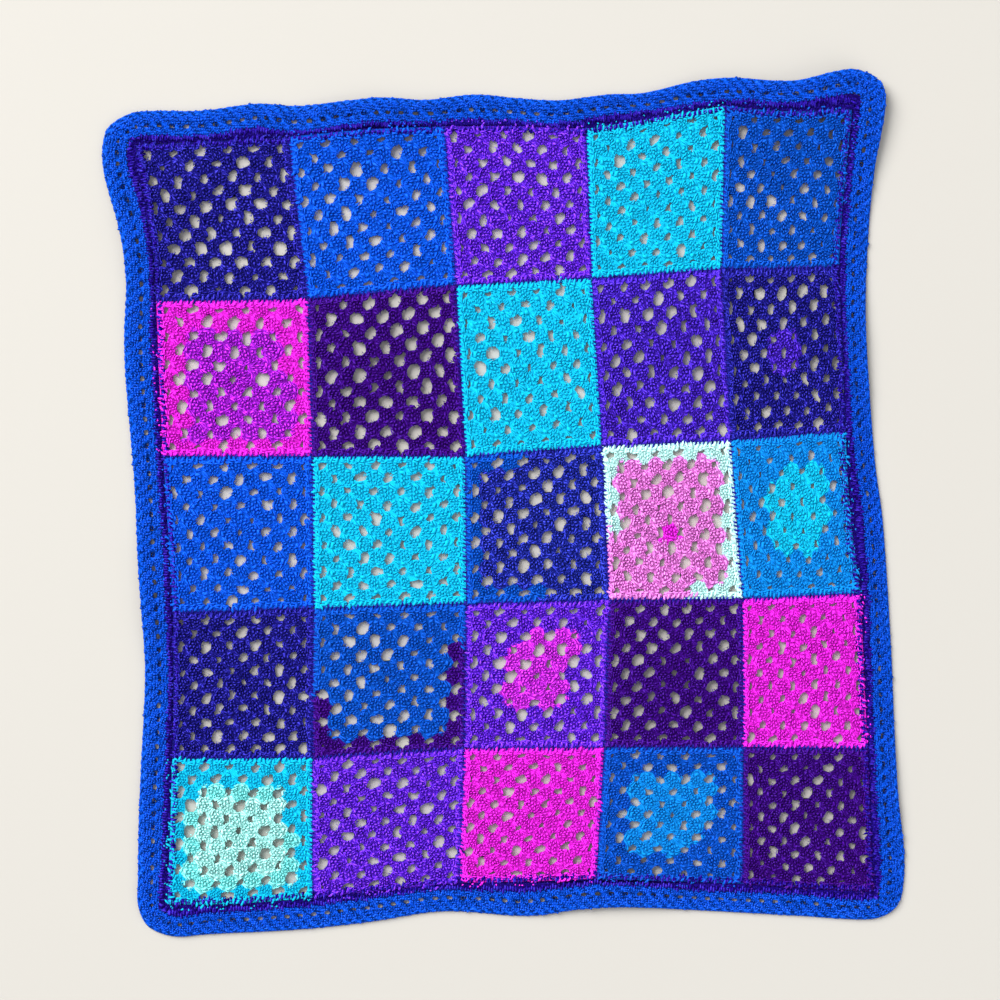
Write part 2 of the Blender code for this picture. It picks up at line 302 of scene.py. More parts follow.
def yarnMaterial(name, hexColour, mottleAndShade):
    # Brushed acrylic yarn, two plies twisted: matt, a little fuzzy at grazing angles,
    # with a diagonal ply groove, tufts of fibre and some stitches paler than others. Its colour is darkened
    # in the ply grooves as painted shade and paled towards white at the tips as painted highlight.
    material = bpy.data.materials.new(name + "_acrylic_yarn")
    material.use_nodes = True
    tree = material.node_tree
    shader = tree.nodes["Principled BSDF"]
    uv = addNode(tree, "UVMap", {"uv_map": "UVMap"})
    parts = addNode(tree, "SeparateXYZ", links={0: uv.outputs[0]})
    along = addNode(tree, "Math", {"operation": "MULTIPLY", 1: 2 * math.pi / (fibre["plyPitch"] * mm)},
                    {0: parts.outputs["X"]})
    turn = addNode(tree, "Math", {"operation": "MULTIPLY_ADD", 1: 2 * math.pi * fibre["plies"]},
                   {0: parts.outputs["Y"], 2: along.outputs[0]})
    wave = addNode(tree, "Math", {"operation": "SINE"}, {0: turn.outputs[0]})
    place = addNode(tree, "TexCoord")
    detail, uneven = fibre["detail"]
    noise = addNode(tree, "TexNoise",
                    {"Scale": 1 / (fibre["clump"] * mm), "Detail": detail, "Roughness": uneven},
                    {"Vector": place.outputs["Object"]})
    strong, centre = fibre["tufts"]
    tufts = addNode(tree, "Math", {"operation": "MULTIPLY_ADD", 1: strong, 2: centre},
                    {0: noise.outputs["Fac"]})
    relief = addNode(tree, "Math", {"operation": "MULTIPLY_ADD", 1: fibre["ply"]},
                     {0: wave.outputs[0], 2: tufts.outputs[0]})
    tone = addNode(tree, "Attribute", {"attribute_name": "tone"})
    level = addNode(tree, "Math", {"operation": "MULTIPLY_ADD", 1: fibre["tone"]},
                    {0: tone.outputs["Fac"], 2: relief.outputs[0]})
    # the ramp paints shade into the ply grooves and a highlight on the tips, besides the random tufts and
    # each stitch's tone
    mix = addNode(tree, "ValToRGB", links={"Fac": level.outputs[0]})
    ramp = mix.color_ramp.elements
    low, middle, high = fibre["levels"]
    own = toLinear(hexColour)
    ramp[0].position, ramp[0].color = low, toLinear(hexColour, fibre["dark"] ** mottleAndShade)
    ramp[1].position, ramp[1].color = middle, own
    # the tips' painted highlight: paler than the yarn, with white added
    tip = [min(1, c * fibre["pale"] ** mottleAndShade + fibre["tipGlint"] * mottleAndShade) for c in own[:3]]
    ramp.new(high).color = tip + [1.0]
    bump = addNode(tree, "Bump", {"Strength": fibre["bump"], "Distance": fibre["groove"] * mm},
                   {"Height": relief.outputs[0]})
    tree.links.new(mix.outputs["Color"], shader.inputs["Base Color"])
    tree.links.new(bump.outputs["Normal"], shader.inputs["Normal"])
    for socket, value in fibre["surface"].items():
        shader.inputs[socket].default_value = value
    white, share = fibre["sheenTint"]
    shader.inputs["Sheen Tint"].default_value = [white + share * c for c in own[:3]] + [1.0]
    return material


materials = {name: yarnMaterial(name, colour, mottleAndShade) for name, (colour, mottleAndShade, _) in yarns.items()}


def selectOnly(pieces):
    # the first of them becomes the active one
    bpy.ops.object.select_all(action="DESELECT")
    for piece in pieces:
        piece.select_set(True)
    bpy.context.view_layer.objects.active = pieces[0]


def weld(piece, distance):
    # merges the points that lie within so many mm of each other
    selectOnly([piece])
    bpy.ops.object.mode_set(mode="EDIT")
    bpy.ops.mesh.select_all(action="SELECT")
    bpy.ops.mesh.remove_doubles(threshold=distance * mm)
    bpy.ops.object.mode_set(mode="OBJECT")


def setTone(mesh, tone):
    # how much paler or darker than its yarn's own colour a mesh is, all over or point by point
    level = mesh.attributes.new("tone", "FLOAT", "POINT")
    level.data.foreach_set("value", np.full(len(mesh.vertices), tone, np.float32))


# A strand's radius at an open end, as a share of its own, and mm within which its points merge
strandEnd = {"radius": 0.02, "weld": 0.08}


def addStrand(name, points, thick, tone=0.0, closed=False):
    # one strand of yarn through the points, in mm, tapering to nothing at its ends unless it is closed
    bpy.ops.object.select_all(action="DESELECT")
    bpy.ops.curve.primitive_nurbs_path_add()
    strand = bpy.context.object
    strand.name = name
    strand.data.splines.clear()
    spline = strand.data.splines.new("POLY")
    last = len(points) - 1
    spline.points.add(last)
    spline.use_cyclic_u = closed
    for k, (point, place) in enumerate(zip(spline.points, points)):
        point.co = (*(float(c) * mm for c in place), 1)
        point.radius = strandEnd["radius"] if not closed and k in (0, last) else 1.0
    strand.data.bevel_depth = thick * mm / 2
    strand.data.bevel_resolution = 0
    bpy.ops.object.convert(target="MESH")
    strand = bpy.context.object
    weld(strand, strandEnd["weld"])
    length = sum(math.dist(a, b) for a, b in zip(points, points[1:])) * mm
    for corner in strand.data.uv_layers[0].data:
        corner.uv.x *= length
    setTone(strand.data, tone)
    bpy.ops.object.shade_smooth()
    return strand


def addGrain(name, place, lean, grain, tone=0.0):
    # a short length of yarn that comes up out of the cloth, leans over and goes down again
    x, y = place
    angle = math.radians(lean)
    dx, dy = math.sin(angle) * grain["long"] / 2, math.cos(angle) * grain["long"] / 2
    points = ((x - dx, y - dy, grain["low"]), (x, y, grain["high"]), (x + dx, y + dy, grain["low"]))
    return addStrand(name, points, grain["thick"], tone)


def joinPieces(name, pieces):
    selectOnly(pieces)
    if len(pieces) > 1:
        bpy.ops.object.join()
    pieces[0].name = name
    return pieces[0]


def joinStrands(name, strands):
    # a stitch that is only a model for its copies, so it isn't rendered itself
    stitch = joinPieces(name, strands)
    stitch.hide_render = True
    return stitch


def pointsOf(stitch):
    points = np.empty(len(stitch.data.vertices) * 3)
    stitch.data.vertices.foreach_get("co", points)
    return points.reshape(-1, 3)


def addCopies(name, stitch, positions, tones):
    # one mesh with a copy of the stitch for each row of positions, which holds the copy's own points
    source = stitch.data
    copies, pointCount = positions.shape[:2]
    corners = np.empty(len(source.loops), np.int32)
    source.loops.foreach_get("vertex_index", corners)
    starts = np.empty(len(source.polygons), np.int32)
    source.polygons.foreach_get("loop_start", starts)
    uvs = np.empty(len(source.loops) * 2)
    source.uv_layers[0].data.foreach_get("uv", uvs)
    own = np.empty(pointCount)
    source.attributes["tone"].data.foreach_get("value", own)
    order = np.arange(copies, dtype=np.int32)[:, None]
    mesh = bpy.data.meshes.new(name)
    mesh.vertices.add(copies * pointCount)
    mesh.vertices.foreach_set("co", positions.astype(np.float32).ravel())
    mesh.loops.add(copies * len(corners))
    mesh.loops.foreach_set("vertex_index", (corners + order * pointCount).ravel())
    mesh.polygons.add(copies * len(starts))
    mesh.polygons.foreach_set("loop_start", (starts + order * len(corners)).ravel())
    mesh.update(calc_edges=True)
    layer = mesh.uv_layers.new(name="UVMap")
    layer.data.foreach_set("uv", np.tile(uvs, copies))
    setTone(mesh, (tones[:, None] + own).ravel())
    mesh.polygons.foreach_set("use_smooth", np.ones(len(mesh.polygons), bool))
    piece = bpy.data.objects.new(name, mesh)
    bpy.context.scene.collection.objects.link(piece)
    return piece


def finishPiece(piece, yarn, body="root"):
    piece.data.materials.clear()
    piece.data.materials.append(materials[yarn])
    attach(piece, body)
    return piece


# A stitch of a cluster, in mm: x along the round, y outwards, z up. Its yarn shows as short
# slanting lengths in two columns, under the two strands of its top edge.
post = {
    "kinds": 4,
    "height": 12.0,
    "grain": {"long": 4.8, "thick": 2.1, "low": 1.8, "high": 4.7},
    "column": 1.2,  # from the middle to each column
    "first": 0.9,
    "apart": 3.5,
    "offset": 0.25,  # share of that by which one column is lower and the other higher
    "each": 3,  # lengths of yarn in a column
    "stray": 0.3,
    "lean": (-10, 75),  # least and most, in degrees
    "sameWay": 0.8,  # share of the lengths that lean as their column does
    "toneStray": 0.5,
    "linkFront": ((-3.0, 12.2, 3.0), (-1.5, 10.7, 4.5), (0.9, 10.2, 4.5), (2.8, 11.2, 3.0)),
    "linkBack": ((-3.0, 12.3, 2.8), (-0.9, 13.0, 3.9), (1.5, 12.8, 3.9), (3.0, 11.9, 2.8)),
    "linkStray": 0.5,
    "linkUp": 0.4,  # share of that up and down
    "linkThick": 2.1,
    "linkTone": 0.15,
    "linkToneStray": 0.3,
}


def makePost(kind):
    dice = diceFor("post", kind)
    strands = []
    for side in (-1, 1):
        for k in range(post["each"]):
            y = post["first"] + (k + post["offset"] * side) * post["apart"]
            place = (side * post["column"], y) + dice.normal(0, post["stray"], 2)
            lean = -side * dice.uniform(*post["lean"]) * (1 if dice.random() < post["sameWay"] else -1)
            tone = dice.normal(0, post["toneStray"])
            strands.append(addGrain("postGrain", place, lean, post["grain"], tone))
    for key in ("linkFront", "linkBack"):
        stray = dice.normal(0, post["linkStray"], (len(post[key]), 3)) * (1, 1, post["linkUp"])
        tone = post["linkTone"] + dice.normal(0, post["linkToneStray"])
        strands.append(addStrand(key, np.array(post[key]) + stray, post["linkThick"], tone))
    return joinStrands(f"postStitch{kind}", strands)


chain = {  # one link of a chain edge, in mm
    "front": ((-3.2, 0.0, 2.8), (-1.0, -1.1, 3.7), (1.4, -0.9, 3.7), (3.2, 0.1, 2.8)),
    "back": ((-3.2, 0.2, 2.3), (-1.0, 1.2, 2.9), (1.4, 1.0, 2.9), (3.2, 0.1, 2.3)),
    "thick": 2.3,
}


def makeChain():
    strands = [addStrand("chainFront", chain["front"], chain["thick"]),
               addStrand("chainBack", chain["back"], chain["thick"])]
    return joinStrands("chainLink", strands)


tooth = {  # a loop of a square's edge that leans over the seam, in mm: x along the edge, y outwards
    "points": ((-1.6, -3.4, 3.2), (-0.9, -1.2, 4.7), (0.2, 1.1, 4.6), (1.7, 4.0, 3.0)),
    "thick": 2.1,
    "tone": 0.6,
    "each": 4.6,
    "ends": 2,  # left free along a side
    "back": 3.3,  # from its middle to the seam
    "along": 0.25,  # how far it strays along the seam, and across it
    "stray": 0.8,
    "outerStray": 1.7,  # and across the joining round
    "outerLost": 0.35,  # share of them that are missing there
    "slant": 0.4,  # radians
}


def makeTooth():
    strand = addStrand("toothStrand", tooth["points"], tooth["thick"], tooth["tone"])
    return joinStrands("edgeTooth", [strand])


speck = {  # a bit of a square's yarn that shows between the stitches of the joining round, paled by its tone as a painted highlight, sizes in mm
    "grain": {"long": 2.6, "thick": 1.6, "low": 3.4, "high": 5.4},
    # painted highlight: the specks are made much paler than their yarn
    "tone": 1.8,
    "count": 17,  # along one side of a square
    "out": (-0.2, 4.6),  # least and most from the square's edge
    "slant": 0.7,  # radians
    "stretch": (0.6, 1.7),
}


whip = {  # a sewing stitch round a seam, in mm: x along the seam, y across it
    "reach": 2.8,
    "low": 0.8,
    "high": 3.6,
    "slant": 1.0,
    "thick": 2.2,
    "points": 5,
    "each": 3.6,
    "along": 0.3,  # how far it strays along the seam, and across it
    "across": 0.2,
    "reachStray": 0.12,  # share
    "toneStray": 0.4,
}
seamStrand = {  # the strand that runs along under the stitches of a seam, in mm; its tone darkens it as painted shade under them
    "points": 8,
    "ends": (0.02, 0.98),  # shares of the seam
    "height": 1.8,
    "thick": 1.3,  # times a stitch
    # painted shade: darker than the whip stitches over it
    "tone": -0.8,
}


def makeWhip():
    middle, half = (whip["low"] + whip["high"]) / 2, (whip["high"] - whip["low"]) / 2
    angles = [2 * math.pi * k / whip["points"] for k in range(whip["points"])]
    points = [(whip["slant"] * math.cos(a) * math.copysign(1, math.sin(a)), whip["reach"] * math.cos(a),
               middle + half * math.sin(a)) for a in angles]
    return joinStrands("whipStitch", [addStrand("whipStrand", points, whip["thick"], closed=True)])


single = {  # one low stitch of the border, in mm: x along the edge, y outwards
    "kinds": 3,
    "wide": 3.7,
    "height": 4.4,
    "grain": {"long": 3.4, "thick": 1.95, "low": 1.6, "high": 4.3},
    "columns": (-1.0, 1.0),
    "rows": (0.7, 3.1),
    "stray": 0.35,
    "lean": (5, 75),  # least and most, in degrees
    "sameWay": 0.75,  # share of the lengths that lean as their column does
    "toneStray": 0.5,
}


def makeSingle(kind):
    dice = diceFor("single", kind)
    strands = []
    for x in single["columns"]:
        for y in single["rows"]:
            lean = math.copysign(dice.uniform(*single["lean"]), -x)
            lean *= 1 if dice.random() < single["sameWay"] else -1
            place = np.array((x, y)) + dice.normal(0, single["stray"], 2)
            tone = dice.normal(0, single["toneStray"])
            strands.append(addGrain("singleGrain", place, lean, single["grain"], tone))
    return joinStrands(f"singleStitch{kind}", strands)


square = {
    "rounds": 5,
    "side": 129.8,  # mm, before the square is stretched to its corners
    "edge": 4.0,  # mm from its last round to the seam
    "pitch": 11.5,  # mm between the clusters
}
gaps = {
    # the free space round the middle of a gap as worked, in mm every 30 degrees from the right, where up is
    # outwards; the yarn round it is then moved to the gap's own size
    "free": (3.9, 3.9, 4.6, 4.7, 4.9, 3.9, 3.9, 4.7, 5.1, 5.0, 5.1, 4.8),
    "reach": 9.2,  # mm from a gap's middle to where the yarn isn't moved
    "range": (1.2, 6.4),  # mm, the least and most radius
    "rings": (0.65, 1.03, 1.18, 1.12, 1.05, 1.05),  # how wide the gaps of each round are, from the middle
    "spread": 0.22,  # how unlike each other they are
    "skew": 0.25,  # share by which each is drawn out one way
    "lean": (48, 22),  # degrees, the way that most are drawn out, and how far they stray from it
    "astray": 0.15,  # share of them that are drawn out any way
    "point": 0.12,  # share by which its corners are drawn out
    "out": (0, -0.3, -0.5, -0.2, 0.2, 0.4),  # mm further out that the gaps of each round lie
    "stray": 0.8,  # mm
    "lip": (0.92, 0.08),  # share of its radius where yarn from its middle comes to lie, and the rest
    "clear": 2.4,  # mm from its middle within which no stitch is worked
}
# How wide the gaps of each square are across, in mm, by rows from the far left
gapWidths = (
    (8.6, 6.9, 7.8, 6.1, 6.8),
    (7.5, 10.0, 6.6, 8.4, 7.8),
    (7.0, 7.3, 8.3, 7.5, 5.3),
    (7.6, 7.7, 8.0, 8.4, 6.3),
    (8.1, 8.2, 7.3, 6.7, 7.2),
)
# The yarn of each square, and where a round or part of one was worked in another:
# first round, last round, sides, and from where to where along them, counted in pitches
squareYarns = (
    ("navy", "royal", "violet", "cyan", "blue"),
    ("magenta", "plum", "cyan", "iris", "navy"),
    ("royal", "cyan", "ink", "orchid", "azure"),
    ("navy", "blue", "fuchsia", "plum", "magenta"),
    ("mint", "violet", "magenta", "blue", "plum"),
)
everySide = ("far", "right", "near", "left")
otherYarns = {
    (1, 0): ((1, 3, everySide, -5, 5, "purple"), (4, 4, ("near",), -5, 5, "purple"),
             (4, 4, ("right",), -5, 0, "purple")),
    (1, 4): ((1, 1, everySide, -5, 5, "iris"),),
    (2, 2): ((5, 5, ("left",), -5, 5, "blue"), (5, 5, ("near",), -5, 0, "blue"),
             (5, 5, ("far",), -5, -1, "blue")),
    (2, 3): ((5, 5, ("far", "right"), -5, 5, "ice"), (5, 5, ("left",), 0, 5, "ice"),
             (5, 5, ("near",), 2, 5, "ice"), (1, 1, ("near",), -1, 1, "magenta")),
    (2, 4): ((1, 2, everySide, -5, 5, "cyan"), (3, 3, ("far", "right"), 0, 3, "cyan")),
    (3, 1): ((5, 5, ("near",), -5, 5, "plum"), (5, 5, ("right",), -5, 2, "plum"),
             (5, 5, ("left",), -5, -1, "plum")),
    (3, 2): ((4, 5, everySide, -5, 5, "violet"), (3, 3, ("left", "near"), -5, 5, "violet"),
             (3, 3, ("far",), -3, -1, "violet"), (3, 3, ("right",), -3, 1, "violet")),
    (4, 0): ((4, 5, everySide, -5, 5, "cyan"), (3, 3, ("far",), -5, 5, "turquoise"),
             (4, 4, ("near", "left"), -5, 1, "turquoise"), (4, 4, ("near",), 1, 5, "turquoise"),
             (4, 4, ("right",), -5, -1, "turquoise")),
    (4, 3): ((1, 3, everySide, -5, 5, "azure"), (3, 3, ("right",), -3, -2, "blue"),
             (3, 3, ("near",), 2, 3, "blue")),
}
cornerGrid = np.array(blanket["corners"], float) * mm - shift


def squareCorners(row, column):
    # far left, far right, near left and near right
    return [cornerGrid[row + down, column + across] for down in (0, 1) for across in (0, 1)]


def outerSides(row, column):
    # which sides of a square are on the outside of the blanket
    last = blanket["grid"] - 1
    return {"far": row == 0, "near": row == last, "left": column == 0, "right": column == last}


def inSquare(row, column, local):
    # points about the square's own middle, x right and y far, laid where the square lies
    size = square["side"] * mm
    u = 0.5 + local[..., 0:1] / size
    v = 0.5 - local[..., 1:2] / size
    farLeft, farRight, nearLeft, nearRight = squareCorners(row, column)
    placed = (farLeft * (1 - u) + farRight * u) * (1 - v) + (nearLeft * (1 - u) + nearRight * u) * v
    # the way that each side bows, how far along it a point is, and how near to it
    ways = {"far": (0, 1, u, 1 - v), "near": (0, -1, u, v),
            "left": (-1, 0, v, 1 - u), "right": (1, 0, v, u)}
    for side, outer in outerSides(row, column).items():
        if outer:
            x, y, along, near = ways[side]
            bow = np.array((x, y)) * (blanket["bows"][side][column if y else row] * mm)
            placed = placed + bow * np.sin(math.pi * along) * np.clip(near, 0, blanket["bowPast"]) ** 2
    return placed


drift = {  # the slow waves that the lattice of a square drifts in
    "x": ((2.1, 3.0, 1), (-1.6, 5.2, 0.6)),  # how they change across and up, and how strong they are
    "y": ((-2.7, 2.4, 1), (4.8, 1.9, 0.6)),
    "most": 2.2,  # mm
    "share": 0.6,  # brings the two waves together back to about that
    "hold": 3,  # how late they die away towards the seams
}


def wanderOf(row, column, local):
    # the lattice drifts a little in slow waves, and stays put at the seams
    size = square["side"] * mm
    u, v = local[..., 0] / size * 2, local[..., 1] / size * 2
    hold = np.clip(1 - np.abs(u) ** drift["hold"], 0, 1) * np.clip(1 - np.abs(v) ** drift["hold"], 0, 1)
    starts = iter(squareDice("drift", row, column).uniform(0, 2 * math.pi, 4))
    moves = [sum(strong * np.sin(a * u + b * v + next(starts)) for a, b, strong in drift[axis])
             for axis in ("x", "y")]
    return local[..., :2] + np.stack(moves, -1) * hold[..., None] * drift["most"] * drift["share"] * mm


def gapsOf(row, column):
    # each gap: its middle as worked, how far that moves, its radius in mm, the way that it is drawn out,
    # the way to one of its corners, and the way outwards
    cells = range(-square["rounds"], square["rounds"] + 1)
    dice = squareDice("gaps", row, column)
    found = []
    for i, j in [(i, j) for i in cells for j in cells if (i + j) % 2 == 0]:
        ring, side, _ = clusterAt(i, j)
        size = gapWidths[row][column] / 2 * gaps["rings"][ring]
        size *= math.exp(dice.normal(0, gaps["spread"]))
        cell = np.array((i, j))
        out = np.where(np.abs(cell) == ring, np.sign(cell), 0) * gaps["out"][ring]
        move = (out + dice.normal(0, gaps["stray"], 2)) * mm
        lean = math.radians(dice.normal(*gaps["lean"]))
        if dice.random() < gaps["astray"]:
            lean = dice.uniform(0, math.pi)
        corner = dice.uniform(0, 2 * math.pi)
        found.append({"middle": cell * square["pitch"] * mm, "move": move, "size": size, "lean": lean,
                      "corner": corner, "outwards": math.pi / 2 + turns[side]})
    return found


def rimOf(gap, angle):
    # how far a gap's edge is from its middle, in metres, in the direction of an angle
    shape = 1 + gaps["skew"] * np.cos(2 * (angle - gap["lean"]))
    shape = shape + gaps["point"] * np.cos(3 * (angle - gap["corner"]))
    return np.clip(gap["size"] * shape, *gaps["range"]) * mm


def pushGaps(row, column, local):
    # moves the yarn round every gap from where it is worked to the gap's own edge
    moved = local.copy()
    reach = gaps["reach"] * mm
    step = 2 * math.pi / len(gaps["free"])
    freeAt = np.arange(len(gaps["free"])) * step
    least, rest = gaps["lip"]
    for gap in gapsOf(row, column):
        away = local[..., :2] - gap["middle"]
        far = np.linalg.norm(away, axis=-1)
        angle = np.arctan2(away[..., 1], away[..., 0])
        turn = angle + math.pi / 2 - gap["outwards"]
        free = np.interp(turn, freeAt, gaps["free"], period=2 * math.pi) * mm
        edge = rimOf(gap, angle)
        outside = edge + (far - free) * (reach - edge) / (reach - free)
        new = np.where(far < free, edge * (least + rest * far / free), outside)
        near = (far < reach)[..., None]
        moved[..., :2] += near * ((new / np.maximum(far, 1e-9) - 1)[..., None] * away
                                  + (1 - far / reach)[..., None] * gap["move"])
    return moved


def clearOfGaps(row, column, stitches):
    # which stitches don't lie right over the middle of a gap
    middles = stitches.mean(1)[:, :2]
    away = [np.linalg.norm(middles - gap["middle"], axis=1) for gap in gapsOf(row, column)]
    return np.all(np.array(away) > gaps["clear"] * mm, 0)


def settle(row, column, points, push="each"):
    # stitches about the square's own middle, moved off the gaps point by point, as a whole or not at all,
    # then drifted and laid in place
    flat = points[..., :2]
    if push == "each":
        flat = pushGaps(row, column, flat)
    elif push == "whole":
        middles = flat.mean(-2, keepdims=True)
        flat = flat + pushGaps(row, column, middles) - middles
    flat = inSquare(row, column, wanderOf(row, column, flat))
    return onCloth(flat, points[..., 2])


def clusterAt(i, j):
    # the round, side and place along that side of the cluster in a cell
    if abs(j) > abs(i):
        return max(abs(i), abs(j)), "far" if j > 0 else "near", i
    return max(abs(i), abs(j)), "right" if i > 0 else "left", j


def cellNear(x, y):
    # the cell of the cluster nearest to a point of the lattice
    last = square["rounds"]
    i, j = (int(np.clip(round(c), -last, last)) for c in (x, y))
    if (i + j) % 2:
        return i, j
    steps = ((abs(x - i), np.sign(x - i) or 1, 0), (abs(y - j), 0, np.sign(y - j) or 1))
    for _, di, dj in sorted(steps, reverse=True):
        if max(abs(i + di), abs(j + dj)) <= last:
            return int(i + di), int(j + dj)
    return i - int(np.sign(i)), j


def yarnAt(row, column, ring, side, along):
    yarn = squareYarns[row][column]
    for first, last, sides, start, end, other in otherYarns.get((row, column), ()):
        if first <= ring <= last and side in sides and start <= along <= end:
            yarn = other
    return yarn


def turned(points, angle):
    c, s = math.cos(angle), math.sin(angle)
    x, y, z = (points[..., k] for k in range(3))
    return np.stack((x * c - y * s, x * s + y * c, z), -1)


turns = {"far": 0, "near": math.pi, "right": -math.pi / 2, "left": math.pi / 2}


cluster = {  # stitches worked into one gap, that spread as they rise, in mm
    "stitches": (-1, 0, 1),
    "base": 3.5,  # between them where they start
    "top": 6.0,  # between them where they end
    "spread": 0.8,  # how that grows from foot to top: under 1, it grows fast at first
    "wide": (0.80, 0.24),  # how wide a stitch is at its foot, and what its top adds
    "ends": (-0.2, 1.15),  # shares of its height between which all that follows changes
    "dip": 0.9,  # that they start inside the round before
    "outerLow": 0.5,  # that the outer two end lower
    "arch": 3.6,  # that the top falls away archAcross to each side, and the last round's share of it
    "archAcross": 8,
    "archLast": 0.2,
    "crown": 0.9,  # that it stands up in its middle
    "crownAcross": 7.5,  # to each side
    "crownRise": (0.85, 0.15),  # of half a wave, the share from foot to top, and where it starts
    "stray": (0.45, 0.3, 0.2),  # of a cluster, of a stitch in it, and of that stitch's height
    "sway": 0.1,  # radians
    "toneStray": (0.2, 0.25),  # of a cluster, and of a stitch in it
}


def fanned(points, which, ring, dice):
    # one stitch of a cluster, leaning out from the gap that the cluster is worked into
    last = ring == square["rounds"]
    outer = square["side"] / 2 - square["edge"] if last else (ring + 0.5) * square["pitch"]
    tall = outer - (ring - 0.5) * square["pitch"] + cluster["dip"]
    t = np.clip(points[:, 1] / (post["height"] * mm), *cluster["ends"])
    rise = np.clip(t, 0, 1)
    foot, more = cluster["wide"]
    base, top = which * cluster["base"] * mm, which * cluster["top"] * mm
    lean = base + (top - base) * np.maximum(t, 0) ** cluster["spread"]
    out = points.copy()
    out[:, 0] = points[:, 0] * (foot + more * t) + lean
    out[:, 1] = points[:, 1] * tall / post["height"]
    out[:, 1] -= (square["pitch"] / 2 + cluster["dip"]) * mm + abs(which) * cluster["outerLow"] * mm * rise
    arch = cluster["arch"] * (cluster["archLast"] if last else 1)
    out[:, 1] -= arch * mm * (out[:, 0] / (cluster["archAcross"] * mm)) ** 2 * rise
    out[:, :2] += dice.normal(0, cluster["stray"][1], 2) * mm
    slope, start = cluster["crownRise"]
    crown = np.clip(1 - (out[:, 0] / (cluster["crownAcross"] * mm)) ** 2, 0, 1)
    crown = crown * np.sin(math.pi * np.clip(t * slope + start, 0, 1))
    out[:, 2] += (crown * cluster["crown"] + dice.normal(0, cluster["stray"][2])) * mm
    return out


def addClusters(found, row, column, points):
    # the clusters of a square: positions and tones, by yarn and stitch
    dice = squareDice("clusters", row, column)
    cells = range(-square["rounds"], square["rounds"] + 1)
    for i, j in [(i, j) for i in cells for j in cells if (i + j) % 2]:
        ring, side, along = clusterAt(i, j)
        yarn = yarnAt(row, column, ring, side, along)
        sway = dice.normal(0, cluster["sway"])
        ownTone, stitchTone = cluster["toneStray"]
        tone = dice.normal(0, ownTone)
        middle = (np.array((i, j)) * square["pitch"] + dice.normal(0, cluster["stray"][0], 2)) * mm
        for which in cluster["stitches"]:
            kind = f"post{dice.integers(post['kinds'])}"
            placed = turned(fanned(points[kind], which, ring, dice), sway + turns[side])
            placed[:, :2] += middle
            found.setdefault((yarn, kind), []).append((placed, tone + dice.normal(0, stitchTone)))


roundEdge = {  # links that carry the edge of each round across its corners and gaps
    "corner": (0.42, -0.05),  # share of a pitch that a corner's links lie outside their round, and along it
    "cornerSlant": 0.12,  # radians
    "cornerStretch": 1.15,
    "lastCorner": 0.4,  # mm inside the last round's edge at its corners, and at its gaps
    "lastGap": 0.5,
    "gap": 0.26,  # share of a pitch from the middle of one of its gaps to each of two links
    "end": 4,  # mm, the least from a seam
    "sway": 0.06,  # radians
    "toneStray": 0.35,
}


def addEdges(found, row, column, points):
    # the links of a square's rounds, and the loops and bits of yarn that reach over its seams
    dice = squareDice("edges", row, column)
    pitch, rounds, outer = square["pitch"], square["rounds"], square["side"] / 2
    edge = outer - square["edge"]

    def place(kind, ring, side, along, x, y, angle, stretch=1.0):
        turn = angle + dice.normal(0, roundEdge["sway"]) + turns[side]
        placed = turned(points[kind] * np.array((stretch, 1, 1)), turn)
        c, s = round(math.cos(turns[side])), round(math.sin(turns[side]))
        placed[:, :2] += np.array((x * c - y * s, x * s + y * c)) * mm
        yarn = yarnAt(row, column, ring, side, along)
        found.setdefault((yarn, kind), []).append((placed, dice.normal(0, roundEdge["toneStray"])))

    for side in everySide:
        sign = 1 if side in ("far", "left") else -1
        outwards, along = roundEdge["corner"]
        for ring in range(1, rounds + 1):
            y = edge - roundEdge["lastCorner"] if ring == rounds else (ring + outwards) * pitch
            x = (ring + along) * pitch
            for end in (1, -1):
                place("link", ring, side, end * ring * sign, end * x, y, end * roundEdge["cornerSlant"],
                      roundEdge["cornerStretch"])
        for step in range(-rounds, rounds + 1, 2):
            for nudge in (-roundEdge["gap"], roundEdge["gap"]):
                x = (step + nudge) * pitch
                if abs(x) < outer - roundEdge["end"]:
                    place("link", rounds, side, step * sign, x, edge - roundEdge["lastGap"], 0)
        joined = outerSides(row, column)[side]  # to the joining round
        stray, lost = (tooth["outerStray"], tooth["outerLost"]) if joined else (tooth["stray"], 0)
        teeth = round((square["side"] - tooth["ends"]) / tooth["each"])
        for k in range(teeth):
            x = (k + 0.5 - teeth / 2) * tooth["each"] + dice.normal(0, tooth["along"])
            along = max(-rounds, min(rounds, x * sign / pitch))
            y = outer - tooth["back"] + dice.normal(0, stray)
            if dice.random() >= lost:
                place("tooth", rounds, side, along, x, y, dice.normal(0, tooth["slant"]))
        for x in dice.uniform(-outer, outer, speck["count"] if joined else 0):
            along = max(-rounds, min(rounds, x * sign / pitch))
            y = outer + dice.uniform(*speck["out"])
            slant = dice.normal(0, speck["slant"])
            place("speck", rounds, side, along, x, y, slant, dice.uniform(*speck["stretch"]))


fuzz = {  # fibres that stand out of the yarn into each gap, thicker than real ones so that they show, in mm
    "points": ((-0.5, -1.0, 2.8), (0.4, 0.8, 3.7), (-0.3, 2.5, 2.4)),  # x along the gap's edge, y inwards
    "thick": 0.38,
    "tone": -0.2,
    "toneStray": 0.5,
    "each": 10,  # round a gap
    "reach": (0.5, 1.3),  # least and most share of their length
    "bend": 1.5,  # how much more or less they bend
    "most": 3.6,  # mm, the radius of gap under which they are shorter
    "yarnFrom": 0.55,  # share of a pitch from the gap's middle to the yarn that they come from
}


